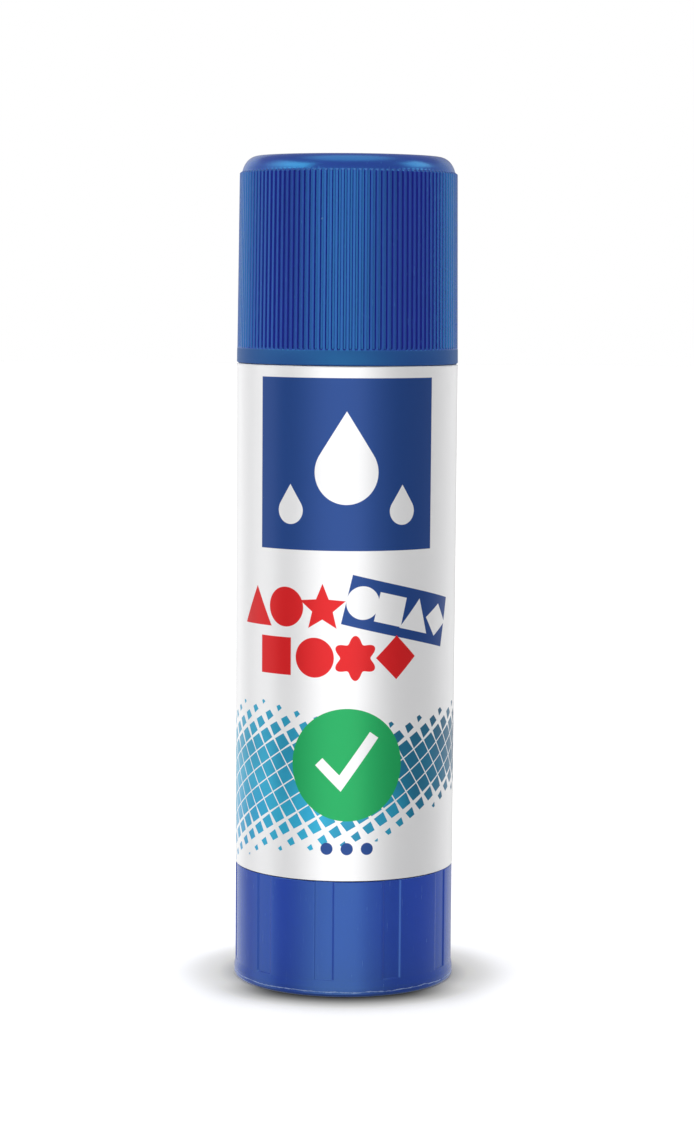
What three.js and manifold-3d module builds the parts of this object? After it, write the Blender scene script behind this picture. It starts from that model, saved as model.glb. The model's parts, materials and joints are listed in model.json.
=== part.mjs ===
// A capped twist-up glue stick, in millimetres, +Z up.
// The origin is on the floor, under the middle of the twist knob. The front faces -Y.
//
// Turning the knob turns the lead screw. The carrier's keyways ride on the keys of the barrel's
// bore, so the carrier can't turn with the screw and its threaded hub climbs instead. The thread
// is left-handed: a turn that is anticlockwise from above raises the glue.

import * as THREE from 'three';
import { mergeVertices } from 'three/addons/utils/BufferGeometryUtils.js';
import Module from 'manifold-3d';

const wasm = await Module();
wasm.setup();

// Facets of a full turn
const outerSteps = 60;
const innerSteps = 44;
const threadSteps = 16;
const filletSteps = 3;
const edgeSteps = 2;

// Outside
const outerRadius = 15.5;
const barrelLength = 70.5;
const barrelDraft = 0.07;
const edgeChamfer = 0.15;

// Cap
const capHeight = 28.65;
const capWall = 1.15;
const capRoof = 1.3;
const capRoofFillet = 2;
const capDraft = THREE.MathUtils.degToRad(0.6);
const capBandHeight = 2.05;
const capBandProud = 0.03;
const capRibCount = 120;
const capRibDepth = 0.28;
const capRibCrestShare = 0.42;
const capRibFlankShare = 0.12;
const capRootProud = 0.05;
const capDomeRise = 2.6;
const capDomeInset = 2.25;
const capRibTipRise = 0.4;
const capDomeSteps = 5;

// Inner cap that seals on the neck's lip
const linerWall = 0.8;
const linerFillet = 1.5;

// Barrel
const neckHeight = 13.5;
const neckWall = 1.1;
const neckBeadHeight = 0.15;
const neckBeadWidth = 1.4;
const neckBeadRise = 4;
const lipRound = 0.35;
const barrelFloor = 1.8;
const collarDepth = 5.5;
const collarWall = 1.2;
const keyCount = 4;
const keyWidth = 1.6;
const keyHeight = 0.6;

// Label
const filmThickness = 0.1;
const filmInset = 0.15;
const filmLapFacets = 2;

// Knob
const knobHeight = 16.05;
const knobInset = 0.04;
const knobWall = 1.4;
const knobRimHeight = 2.2;
const knobRimProud = 0.17;
const knobFootFillet = 0.5;
const knobFootWidth = 1.5;
const knobRecess = 0.8;
const knobFloor = 1.5;
const knobGrooveCount = 10;
const knobGrooveDepth = 0.25;
const knobGrooveWidth = 2.9;
const knobGrooveSlope = 0.5;
const knobGrooveTurn = THREE.MathUtils.degToRad(-100);
const bossRadius = 5.2;
const socketFloor = 1;
const knobWebCount = 6;
const webThickness = 1;

// Spindle
const threadLead = 5;
const coreRadius = 2.3;
const threadDepth = 1.1;
const threadFootWidth = 1.9;
const threadCrestWidth = 1.1;
const threadGripTurns = 2;
const threadFadeTurns = 0.25;
const flangeRadius = 6;
const flangeThickness = 1.2;
const flangeToThread = 1;
const journalRadius = 3.2;
const splineCount = 6;
const splineDepth = 0.6;
const splineCrestShare = 0.4;
const splineFlankShare = 0.06;
const tipTaper = 1;

// Carrier
const hubWall = 1.3;
const cupFloorHeight = 13.4;
const cupFloor = 1.5;
const cupDepth = 5;
const cupWall = 1.2;
const cupLip = 0.3;
const cupLipHeight = 0.8;
const skirtDepth = 5.5;
const carrierWebCount = 4;
const carrierWebDepth = 4;

// Glue
const glueInset = 0.8;
const glueEdgeRound = 0.6;

// Clearances
const knobSeam = 0.3;
const capSeam = 0.2;
const capGap = 0.3;
const sealGap = 0.3;
const linerGap = 0.15;
const filmGap = 0.02;
const turnGap = 0.3;
const slideGap = 0.3;
const threadGap = 0.3;
const splineGap = 0.15;
const hubGap = 0.5;
// How far a piece reaches into the piece that it is joined to, and a cutter past what it cuts
const sink = 0.3;
const overcut = 1;
// Points of a mesh closer than this are one
const mergeDistance = 1e-4;

// Heights
const barrelFoot = knobHeight + knobSeam;
const shoulder = barrelFoot + barrelLength;
const lip = shoulder + neckHeight;
const capMouth = shoulder + capSeam;
const capTop = capMouth + capHeight;
const capRibFoot = capMouth + capBandHeight;
const capDomeFoot = capTop - capDomeRise;
const capRibTop = capDomeFoot + capRibTipRise;
const floorTop = barrelFoot + barrelFloor;
const flangeFoot = floorTop + turnGap;
const flangeTop = flangeFoot + flangeThickness;
const hubFoot = flangeTop + hubGap;
const cupSeat = hubFoot + cupFloorHeight;
const cupRim = cupSeat + cupDepth;
const driveTurns = Math.floor((lip - cupRim) / threadLead);
const travel = driveTurns * threadLead;
const screwTip = hubFoot + travel + threadGripTurns * threadLead;
const glueTop = lip - glueInset;
const knobFloorTop = knobRecess + knobFloor;
const socketFoot = knobRecess + knobFloor + socketFloor;
const bossTop = barrelFoot - turnGap;
const collarFoot = barrelFoot - collarDepth;

// Radii
const filmRadius = outerRadius - filmThickness;
const barrelRadius = filmRadius - filmGap;
const capBore = outerRadius - capWall;
const capCrest = outerRadius - capBandProud;
const capRoot = capCrest - capRibDepth;
const neckRadius = capBore - capGap;
const bore = neckRadius - neckWall;
const knobRadius = outerRadius - barrelDraft - knobInset;
const knobRimRadius = knobRadius + knobRimProud;
const knobBore = knobRadius - knobWall;
const collarRadius = knobBore - turnGap;
const threadRadius = coreRadius + threadDepth;
const hubRadius = threadRadius + threadGap + hubWall;
const carrierRadius = bore - slideGap;
const cupRadius = carrierRadius - cupWall;
const keyTip = bore - keyHeight;
const journalHole = journalRadius + turnGap;

// Closed three.js geometry as a solid that can be joined and cut
function solid(geometry) {
  const bare = geometry.clone();
  bare.deleteAttribute('normal');
  bare.deleteAttribute('uv');
  const merged = mergeVertices(bare, mergeDistance);
  const corners = merged.index.array;
  const triangles = [];
  for (let i = 0; i < corners.length; i += 3) {
    const [a, b, c] = [corners[i], corners[i + 1], corners[i + 2]];
    if (a !== b && b !== c && c !== a) triangles.push(a, b, c);
  }
  const vertProperties = new Float32Array(merged.attributes.position.array);
  const triVerts = new Uint32Array(triangles);
  return new wasm.Manifold(new wasm.Mesh({ numProp: 3, vertProperties, triVerts }));
}

// Named mesh of a finished solid
function piece(name, body, material) {
  const { vertProperties, triVerts } = body.getMesh();
  const geometry = new THREE.BufferGeometry();
  geometry.setAttribute('position', new THREE.BufferAttribute(new Float32Array(vertProperties), 3));
  geometry.setIndex(new THREE.BufferAttribute(new Uint32Array(triVerts), 1));
  geometry.computeVertexNormals();
  const mesh = new THREE.Mesh(geometry, material);
  mesh.name = name;
  return mesh;
}

// Profile of [radius, height] points turned about the axis, up its outside and down its inside.
// A profile that starts off the axis is closed on itself.
function turned(profile, steps = outerSteps) {
  const closed = profile[0][0] > 0 ? [...profile, profile[0]] : profile;
  const points = closed.map(([radius, height]) => new THREE.Vector2(radius, height));
  const lathe = new THREE.LatheGeometry(points, steps);
  lathe.rotateX(Math.PI / 2);
  return solid(lathe);
}

function cylinder(radius, foot, top, steps = innerSteps) {
  return turned([[0, foot], [radius, foot], [radius, top], [0, top]], steps);
}

// Upright prism on an outline of [x, y] points
function prismGeometry(outline, foot, top) {
  const shape = new THREE.Shape(outline.map(([x, y]) => new THREE.Vector2(x, y)));
  const prism = new THREE.ExtrudeGeometry(shape, { depth: top - foot, bevelEnabled: false });
  return prism.translate(0, 0, foot);
}

// Upright block that runs outwards from the axis at an angle
function spoke(inner, outer, width, foot, top, angle) {
  const block = new THREE.BoxGeometry(outer - inner, width, top - foot);
  block.translate((inner + outer) / 2, 0, (foot + top) / 2);
  block.rotateZ(angle);
  return solid(block);
}

function spokes(count, inner, outer, width, foot, top, turn = 0) {
  const blocks = [];
  for (let i = 0; i < count; i++) {
    blocks.push(spoke(inner, outer, width, foot, top, turn + i * 2 * Math.PI / count));
  }
  return blocks.reduce((all, block) => all.add(block));
}

const polar = (radius, angle) => [radius * Math.cos(angle), radius * Math.sin(angle)];

// Quarter round from (radius, height), as far in as `inset` and as far up as `rise`
function quarterRound(radius, height, inset, rise, steps) {
  const points = [];
  for (let i = 0; i <= steps; i++) {
    const angle = i / steps * Math.PI / 2;
    points.push([radius - inset * (1 - Math.cos(angle)), height + rise * Math.sin(angle)]);
  }
  return points;
}

// Outline of a ring of equal ribs: crest, flank, root, flank
function ribbedOutline(count, root, crest, crestShare, flankShare) {
  const pitch = 2 * Math.PI / count;
  const halfCrest = pitch * crestShare / 2;
  const halfFoot = halfCrest + pitch * flankShare;
  const points = [];
  for (let i = 0; i < count; i++) {
    points.push(polar(root, i * pitch - halfFoot));
    points.push(polar(crest, i * pitch - halfCrest));
    points.push(polar(crest, i * pitch + halfCrest));
    points.push(polar(root, i * pitch + halfFoot));
  }
  return points;
}

// Moves each point of a geometry towards the axis by what `narrowing` gives for its height
function narrowed(geometry, narrowing) {
  const place = geometry.attributes.position;
  for (let i = 0; i < place.count; i++) {
    const radius = Math.hypot(place.getX(i), place.getY(i));
    const scale = (radius - narrowing(place.getZ(i))) / radius;
    place.setXY(i, place.getX(i) * scale, place.getY(i) * scale);
  }
  return geometry;
}

const capNarrowing = (height) => (height - capMouth) * Math.tan(capDraft);
const barrelNarrowing = (height) => barrelDraft * (shoulder - height) / barrelLength;

// Triangles between two upright rows of points, each a list of { vertex, phase }.
// The row whose next point comes first on the helix is the next to move up.
function stitched(row, next, phaseStep) {
  const triangles = [];
  let a = 0;
  let b = 0;
  while (a < row.length - 1 || b < next.length - 1) {
    const rowPhase = a < row.length - 1 ? row[a + 1].phase : Infinity;
    const nextPhase = b < next.length - 1 ? next[b + 1].phase - phaseStep : Infinity;
    const nextMoves = a === row.length - 1 || (b < next.length - 1 && nextPhase <= rowPhase);
    const corner = nextMoves ? next[b + 1] : row[a + 1];
    triangles.push(next[b].vertex, row[a].vertex, corner.vertex);
    if (nextMoves) b += 1;
    else a += 1;
  }
  return triangles;
}

// Rod with a left-hand thread of trapezoid section, which fades out at both of its ends.
// The screw and the nut's cutter keep to the same helix, so they mesh wherever the carrier stands.
function threadedRod(foot, top, threadFoot, threadTop, core, crest, footWidth, crestWidth) {
  const stepRise = threadLead / threadSteps;
  const first = Math.ceil((threadFoot - flangeTop) / stepRise);
  const last = Math.floor((threadTop - flangeTop) / stepRise);
  const fadeSteps = threadFadeTurns * threadSteps;
  const positions = [0, 0, foot, 0, 0, top];
  const rows = [];
  for (let k = 0; k < threadSteps; k++) {
    const angle = -Math.PI / 2 - k * 2 * Math.PI / threadSteps;
    const row = [];
    const addPoint = (radius, height, phase) => {
      row.push({ vertex: positions.length / 3, phase });
      positions.push(...polar(radius, angle), height);
    };
    addPoint(core, foot, -Infinity);
    const toFirst = THREE.MathUtils.euclideanModulo(k - first, threadSteps);
    for (let i = first + toFirst; i <= last; i += threadSteps) {
      const middle = flangeTop + i * stepRise;
      const growth = Math.min(1, (i - first) / fadeSteps, (last - i) / fadeSteps);
      const ridge = core + (crest - core) * growth;
      addPoint(core, middle - footWidth / 2, i);
      addPoint(ridge, middle - crestWidth / 2, i + 0.25);
      addPoint(ridge, middle + crestWidth / 2, i + 0.5);
      addPoint(core, middle + footWidth / 2, i + 0.75);
    }
    addPoint(core, top - tipTaper, last + 2 * threadSteps);
    addPoint(core - tipTaper, top, last + 4 * threadSteps);
    rows.push(row);
  }
  const index = [];
  rows.forEach((row, k) => {
    const next = rows[(k + 1) % threadSteps];
    index.push(...stitched(row, next, 1));
    index.push(0, row[0].vertex, next[0].vertex);
    index.push(1, next.at(-1).vertex, row.at(-1).vertex);
  });
  const rod = new THREE.BufferGeometry();
  rod.setAttribute('position', new THREE.Float32BufferAttribute(positions, 3));
  rod.setIndex(index);
  return solid(rod);
}

// Ribbed shell with a smooth band at its mouth and a smooth rounded top
function makeCap() {
  const core = capRoot - capRootProud;
  const outside = turned([
    [0, capMouth],
    [outerRadius - edgeChamfer, capMouth],
    [outerRadius, capMouth + edgeChamfer],
    [outerRadius - capNarrowing(capRibFoot), capRibFoot],
    [core - capNarrowing(capRibFoot), capRibFoot],
    ...quarterRound(
      core - capNarrowing(capDomeFoot), capDomeFoot, capDomeInset, capDomeRise, capDomeSteps),
    [0, capTop],
  ]);
  const ribOutline = ribbedOutline(capRibCount, capRoot, capCrest, capRibCrestShare, capRibFlankShare);
  const ribs = solid(narrowed(prismGeometry(ribOutline, capRibFoot - sink, capRibTop), capNarrowing));
  const roof = capTop - capRoof;
  const filletFoot = roof - capRoofFillet;
  const inside = turned([
    [0, capMouth - overcut],
    [capBore + edgeChamfer, capMouth - overcut],
    [capBore + edgeChamfer, capMouth],
    [capBore, capMouth + edgeChamfer],
    ...quarterRound(
      capBore - capNarrowing(filletFoot), filletFoot, capRoofFillet, capRoofFillet, filletSteps),
    [0, roof],
  ]);
  return outside.add(ribs).subtract(inside);
}

// Thin inverted cup under the cap's roof, whose rim closes on the neck's lip
function makeCapLiner() {
  const foot = lip + sealGap;
  const top = capTop - capRoof - linerGap;
  const outer = (height) => capBore - capNarrowing(height) - linerGap;
  const filletFoot = top - capRoofFillet;
  const innerRoof = top - linerWall;
  const innerFilletFoot = innerRoof - linerFillet;
  const innerFillet = quarterRound(
    outer(innerFilletFoot) - linerWall, innerFilletFoot, linerFillet, linerFillet, filletSteps);
  return turned([
    [outer(foot) - linerWall, foot],
    [outer(foot), foot],
    ...quarterRound(outer(filletFoot), filletFoot, capRoofFillet, capRoofFillet, filletSteps),
    [0, top],
    [0, innerRoof],
    ...innerFillet.reverse(),
  ], innerSteps);
}

// Tube with a neck for the cap, a keyed bore, a floor that carries the spindle, and a collar
// that fills the knob's mouth
function makeBarrel() {
  const foot = barrelRadius - barrelNarrowing(barrelFoot);
  const beadFoot = shoulder + neckBeadRise;
  const beadMiddle = beadFoot + neckBeadWidth / 2;
  const shell = turned([
    [journalHole, barrelFoot],
    [collarRadius - collarWall, barrelFoot],
    [collarRadius - collarWall, collarFoot],
    [collarRadius - edgeChamfer, collarFoot],
    [collarRadius, collarFoot + edgeChamfer],
    [collarRadius, barrelFoot],
    [foot - edgeChamfer, barrelFoot],
    [foot, barrelFoot + edgeChamfer],
    [barrelRadius, shoulder - edgeChamfer],
    [barrelRadius - edgeChamfer, shoulder],
    [neckRadius, shoulder],
    [neckRadius, beadFoot],
    [neckRadius + neckBeadHeight, beadMiddle],
    [neckRadius, beadFoot + neckBeadWidth],
    ...quarterRound(neckRadius, lip - lipRound, lipRound, lipRound, filletSteps),
    [bore + edgeChamfer, lip],
    [bore, lip - edgeChamfer],
    [bore, floorTop],
    [journalHole, floorTop],
  ]);
  const keys = spokes(keyCount, keyTip, bore + sink, keyWidth, floorTop - sink, lip - edgeChamfer);
  return shell.add(keys);
}

// Printed film wrapped once round the barrel, its end lapped over its start at the back
function makeLabel() {
  const facets = outerSteps + filmLapFacets;
  const step = filmThickness + filmGap;
  const inner = [];
  const outer = [];
  for (let i = 0; i <= facets; i++) {
    const angle = Math.PI / 2 + i * 2 * Math.PI / outerSteps;
    const radius = filmRadius + (i < outerSteps ? 0 : step);
    inner.push(polar(radius, angle));
    outer.push(polar(radius + filmThickness, angle));
  }
  const outline = [...outer, ...inner.reverse()];
  const film = prismGeometry(outline, barrelFoot + filmInset, shoulder - filmInset);
  return solid(narrowed(film, barrelNarrowing));
}

// Grooved cup with a splined boss that grips the spindle's tail
function makeKnob() {
  const footEdge = knobRimRadius - knobFootFillet;
  const footInner = footEdge - knobFootWidth;
  const footRound = quarterRound(knobRimRadius, 0, knobFootFillet, knobFootFillet, edgeSteps)
    .map(([radius, rise]) => [radius, knobFootFillet - rise])
    .reverse();
  const shell = turned([
    [0, knobRecess],
    [footInner, knobRecess],
    [footInner, 0],
    ...footRound,
    [knobRimRadius, knobRimHeight - knobRimProud],
    [knobRadius, knobRimHeight],
    [knobRadius, knobHeight - edgeChamfer],
    [knobRadius - edgeChamfer, knobHeight],
    [knobBore + edgeChamfer, knobHeight],
    [knobBore, knobHeight - edgeChamfer],
    [knobBore, knobFloorTop],
    [0, knobFloorTop],
  ]);
  const boss = cylinder(bossRadius, knobFloorTop - sink, bossTop, innerSteps);
  const socketOutline = splineOutline(splineGap);
  const socket = solid(prismGeometry(socketOutline, socketFoot, bossTop + overcut));
  const webTop = collarFoot - turnGap - hubGap;
  const webs = spokes(
    knobWebCount, bossRadius - sink, knobBore + sink, webThickness, knobFloorTop - sink, webTop);
  return shell.add(boss).add(webs).subtract(knobGrooves()).subtract(socket);
}

// Shallow finger grooves, from the rim to the knob's top
function knobGrooves() {
  const floorRadius = knobRadius - knobGrooveDepth;
  const outside = knobRadius + overcut;
  const halfMouth = knobGrooveWidth / 2 / knobRadius;
  const halfFloor = halfMouth - knobGrooveSlope / knobRadius;
  const halfOutside = halfMouth + (halfMouth - halfFloor) * overcut / knobGrooveDepth;
  const grooves = [];
  for (let i = 0; i < knobGrooveCount; i++) {
    const middle = knobGrooveTurn + i * 2 * Math.PI / knobGrooveCount;
    const outline = [
      polar(floorRadius, middle - halfFloor),
      polar(outside, middle - halfOutside),
      polar(outside, middle + halfOutside),
      polar(floorRadius, middle + halfFloor),
      polar(floorRadius, middle),
    ];
    grooves.push(solid(prismGeometry(outline, knobRimHeight, knobHeight + overcut)));
  }
  return grooves.reduce((all, groove) => all.add(groove));
}

const splineOutline = (gap) => ribbedOutline(
  splineCount, journalRadius - splineDepth + gap, journalRadius + gap,
  splineCrestShare, splineFlankShare);

// Spindle: splined tail, journal in the barrel's floor, thrust flange, threaded core
function makeLeadScrew() {
  const journalFoot = bossTop + splineGap;
  const tail = solid(prismGeometry(splineOutline(0), socketFoot + sink, journalFoot + sink));
  const journal = turned([
    [0, journalFoot],
    [journalRadius, journalFoot],
    [journalRadius, flangeFoot],
    [flangeRadius, flangeFoot],
    [flangeRadius, flangeTop],
    [0, flangeTop],
  ], innerSteps);
  const threadFoot = flangeTop + flangeToThread;
  const threadTop = screwTip - 2 * tipTaper;
  const rod = threadedRod(
    flangeTop - sink, screwTip, threadFoot, threadTop,
    coreRadius, threadRadius, threadFootWidth, threadCrestWidth);
  return journal.add(tail).add(rod);
}

// Cup that holds the glue, with a threaded hub, stiffening webs and a skirt that guides it
function makeCarrier() {
  const floorFoot = cupSeat - cupFloor;
  const skirtFoot = floorFoot - skirtDepth;
  const cup = turned([
    [0, floorFoot],
    [cupRadius, floorFoot],
    [cupRadius, skirtFoot],
    [carrierRadius, skirtFoot],
    [carrierRadius, cupRim],
    [cupRadius - cupLip, cupRim],
    [cupRadius - cupLip, cupRim - cupLipHeight],
    [cupRadius, cupRim - cupLipHeight - cupLip],
    [cupRadius, cupSeat],
    [0, cupSeat],
  ], innerSteps);
  const hub = cylinder(hubRadius, hubFoot, cupSeat - sink, threadSteps);
  const webs = spokes(
    carrierWebCount, hubRadius - sink, cupRadius + sink, webThickness,
    floorFoot - carrierWebDepth, floorFoot + sink, Math.PI / carrierWebCount);
  const keyways = spokes(
    keyCount, keyTip - slideGap, bore + overcut, keyWidth + 2 * slideGap,
    skirtFoot - overcut, cupRim + overcut);
  const threadBore = threadedRod(
    hubFoot - 2 * threadLead, cupSeat + 2 * threadLead, hubFoot - threadLead, cupSeat + threadLead,
    coreRadius + threadGap, threadRadius + threadGap,
    threadFootWidth + 2 * threadGap, threadCrestWidth + 2 * threadGap);
  return cup.add(hub).add(webs).subtract(keyways).subtract(threadBore);
}

// Adhesive cast round the spindle: its foot fills the cup, its top stands just below the lip
function makeGlue() {
  const foot = cupSeat + slideGap;
  const neckIn = cupRadius - cupLip - slideGap;
  const waist = cupRim - cupLipHeight - cupLip - slideGap;
  const radius = bore - slideGap;
  const column = turned([
    [0, foot],
    [cupRadius - slideGap, foot],
    [cupRadius - slideGap, waist],
    [neckIn, waist + cupLip],
    [neckIn, cupRim + slideGap],
    [radius, cupRim + slideGap],
    ...quarterRound(radius, glueTop - glueEdgeRound, glueEdgeRound, glueEdgeRound, edgeSteps),
    [0, glueTop],
  ], innerSteps);
  const spindleBore = cylinder(threadRadius + threadGap, foot - overcut, screwTip + threadGap, threadSteps);
  const keyways = spokes(
    keyCount, keyTip - slideGap, bore + overcut, keyWidth + 2 * slideGap,
    foot - overcut, glueTop + overcut);
  return column.subtract(spindleBore).subtract(keyways);
}

const material = (color, roughness) => new THREE.MeshStandardMaterial({ color, roughness, metalness: 0 });
const capBlue = material('#27479b', 0.35);
const knobBlue = material('#2a4ca4', 0.25);
const labelWhite = material('#f6f6f7', 0.2);
const mouldedWhite = material('#f1f2f2', 0.4);
const linerWhite = material('#e9eef2', 0.45);
const glueBlue = material('#3f6fd6', 0.5);

const glueStick = new THREE.Group();
glueStick.add(
  piece('cap', makeCap(), capBlue),
  piece('cap_liner', makeCapLiner(), linerWhite),
  piece('barrel', makeBarrel(), mouldedWhite),
  piece('label', makeLabel(), labelWhite),
  piece('glue_column', makeGlue(), glueBlue),
  piece('carrier', makeCarrier(), mouldedWhite),
  piece('lead_screw', makeLeadScrew(), mouldedWhite),
  piece('knob', makeKnob(), knobBlue),
);

export default glueStick;
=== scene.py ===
# A capped twist-up glue stick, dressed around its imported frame.
# Sizes are in millimetres until a mesh is made, and +Z is up. The front of the label faces -Y.

import json
import math

import bmesh
import bpy
import numpy as np
from mathutils import Matrix, Vector


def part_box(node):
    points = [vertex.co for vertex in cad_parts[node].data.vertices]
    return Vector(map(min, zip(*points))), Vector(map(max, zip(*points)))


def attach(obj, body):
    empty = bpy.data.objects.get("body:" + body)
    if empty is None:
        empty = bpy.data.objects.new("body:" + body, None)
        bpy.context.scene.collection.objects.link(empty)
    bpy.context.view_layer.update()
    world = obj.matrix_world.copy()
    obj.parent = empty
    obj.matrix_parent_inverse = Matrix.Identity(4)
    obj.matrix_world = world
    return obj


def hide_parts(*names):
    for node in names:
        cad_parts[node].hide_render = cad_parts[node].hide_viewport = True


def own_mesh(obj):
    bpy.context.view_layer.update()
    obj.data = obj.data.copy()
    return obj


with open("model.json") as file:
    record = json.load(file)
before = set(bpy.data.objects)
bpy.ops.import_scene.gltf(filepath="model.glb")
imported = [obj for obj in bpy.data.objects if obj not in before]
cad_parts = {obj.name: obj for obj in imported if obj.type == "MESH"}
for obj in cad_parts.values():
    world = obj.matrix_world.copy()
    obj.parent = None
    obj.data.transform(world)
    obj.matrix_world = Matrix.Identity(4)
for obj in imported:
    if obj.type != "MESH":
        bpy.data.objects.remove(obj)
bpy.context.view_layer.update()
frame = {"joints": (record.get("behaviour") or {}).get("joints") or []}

MM = 0.001
TURN = 2 * math.pi

# Sizes that the boxes of the frame's nodes don't give

# Cap
CAP_WALL = 1.15
CAP_ROOF = 1.3
CAP_ROOF_FILLET = 2.0
CAP_DRAFT = math.tan(math.radians(0.6))
CAP_EDGE = 0.2
CAP_FLAT_RADIUS = 6.0
BAND_HEIGHT = 2.05
BAND_PROUD = 0.03
BAND_STEP = 0.04
DOME_INSET = 2.3
DOME_RISE = 2.85
DOME_STEPS = 18

# Ribs. Crests, flanks and columns of points are shares of the pitch, rows of points are heights.
RIB_COUNT = 120
RIB_DEPTH = 0.28
RIB_CREST = 0.19
RIB_FLANK = 0.15
RIB_COLUMNS = (0.0, 0.13, 0.19, 0.24, 0.29, 0.34, 0.5)
RIB_ROWS = (90, 94, 98, 102, 106, 110)
RIB_END = 2.25
RIB_TIP = 0.14
RIB_TIP_FILLET = 0.06
VALLEY_END = 0.26
VALLEY_RISE = 0.16
VALLEY_ROW_STEP = 0.05
VALLEY_ROWS = 12

# Liner
LINER_WALL = 0.8
LINER_GAP = 0.15
LINER_FILLET = 1.5
LINER_EDGE = 0.25

# Barrel and label
NECK_RADIUS = 14.05
NECK_WALL = 1.1
BEAD_HEIGHT = 0.15
BEAD_WIDTH = 1.4
BEAD_RISE = 4.0
BARREL_DRAFT = 0.07
BARREL_FLOOR = 1.8
COLLAR_RADIUS = 13.69
COLLAR_WALL = 1.2
JOURNAL_HOLE = 3.5
LABEL_MARGIN = 0.15
FILM = 0.1
FILM_GAP = 0.02
FILM_LAP = math.radians(12)
FILM_CLIMB = math.radians(3)
FILM_STEP = math.radians(1)
FILM_CLEAR = 0.01
FILM_PAST_FOOT = 0.17
SHOULDER_EDGE = 0.12

# Keys in the bore, and the keyways that run on them
KEY_COUNT = 4
KEY_WIDTH = 1.6
KEY_HEIGHT = 0.6
KEY_FLANK = 0.25
KEY_FROM_LIP = 0.35
KEY_END = 0.5
KEY_GAP = 0.3
KEYWAY_FLANK = 0.2

# Knob
KNOB_RADIUS = 15.39
KNOB_RIM_RADIUS = 15.56
KNOB_WALL = 1.4
KNOB_RIM_HEIGHT = 2.2
KNOB_LEDGE = 0.9
KNOB_LEDGE_FILLET = 1.5
KNOB_RECESS = 0.8
KNOB_FLOOR = 1.5
KNOB_FOOT_WIDTH = 1.5
KNOB_FOOT_FILLET = 0.5
GROOVE_COUNT = 10
GROOVE_DEPTH = 0.14
GROOVE_WIDTH = 2.9
GROOVE_SLOPE = 0.32
GROOVE_TURN = math.radians(-10)
GROOVE_FROM_RIM = 0.1
GROOVE_END = 0.12
GROOVE_COLUMNS = (0, 0.12, 0.25, 0.4, 0.6, 0.75, 0.88, 1)
BOSS_RADIUS = 5.2
BOSS_GAP = 0.3
SOCKET_FLOOR = 1.0
WEB_COUNT = 6
WEB_THICKNESS = 1.0
WEB_GAP = 0.8

# The seam between knob and barrel is narrower than their nodes leave it
KNOB_RAISED = 0.12
BARREL_LOWERED = 0.06

# Splines of the spindle's tail and of the knob's socket. Crest and flank are shares of the pitch.
SPLINE_COUNT = 6
SPLINE_PITCH = TURN / SPLINE_COUNT
SPLINE_DEPTH = 0.6
SPLINE_CREST = 0.4
SPLINE_FLANK = 0.06
SPLINE_GAP = 0.15

# Spindle
THREAD_LEAD = 5.0
CORE_RADIUS = 2.3
THREAD_RADIUS = 3.4
THREAD_FOOT = 1.9
THREAD_CREST = 1.1
THREAD_SOFT = 0.12
THREAD_GAP = 0.3
THREAD_FADE = 0.25
THREAD_COLUMNS = 72
JOURNAL_RADIUS = 3.2
FLANGE_RADIUS = 6.0
FLANGE_THICKNESS = 1.2
FLANGE_GAP = 0.5
TIP_TAPER = 1.0

# Carrier and glue
CARRIER_RADIUS = 12.65
CUP_WALL = 1.2
CUP_FLOOR = 1.5
CUP_DEPTH = 5.0
CUP_LIP = 0.3
CUP_LIP_HEIGHT = 0.8
SKIRT_DEPTH = 5.5
HUB_RADIUS = 5.0
CARRIER_WEBS = 4
CARRIER_WEB_DEPTH = 4.0
PLUG_GAP = 0.1
GLUE_GAP = 0.2
GLUE_ROUND = 0.6
GLUE_RING_RADIUS = 9.0
GLUE_RING_DROP = 0.04
LEAST_GLUE = 0.003

# How far joined parts of one piece run into each other
OVERLAP = 0.3
# Edges that turn further than this are sharp, in degrees
SHARP = 38
JOINED_SHARP = 35


def span(node):
    """Lowest and highest Z of a node, in millimetres."""
    low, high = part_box(node)
    return low.z / MM, high.z / MM


CAP_MOUTH, CAP_TOP = span("cap")
LINER_FOOT, LINER_TOP = span("cap_liner")
COLLAR_FOOT, LIP = span("barrel")
LABEL_FOOT, LABEL_TOP = span("label")
GLUE_FOOT, GLUE_TOP = span("glue_column")
HUB_FOOT, CUP_RIM = span("carrier")
TAIL_FOOT, SCREW_TIP = span("lead_screw")
KNOB_TOP = span("knob")[1] + KNOB_RAISED
OUTER_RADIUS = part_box("cap")[1].x / MM
CAP_BORE = OUTER_RADIUS - CAP_WALL
BORE = NECK_RADIUS - NECK_WALL
CUP_RADIUS = CARRIER_RADIUS - CUP_WALL
CUP_SEAT = CUP_RIM - CUP_DEPTH
BARREL_FOOT = LABEL_FOOT - LABEL_MARGIN
SHOULDER = LABEL_TOP + LABEL_MARGIN
FLOOR_TOP = BARREL_FOOT + BARREL_FLOOR
FLANGE_TOP = HUB_FOOT - FLANGE_GAP
FLANGE_FOOT = FLANGE_TOP - FLANGE_THICKNESS
BOSS_TOP = BARREL_FOOT - BOSS_GAP


# Meshes

def ease(t):
    """Smooth step from 0 to 1 as t goes from 0 to 1."""
    t = np.clip(t, 0, 1)
    return t * t * (3 - 2 * t)


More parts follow.
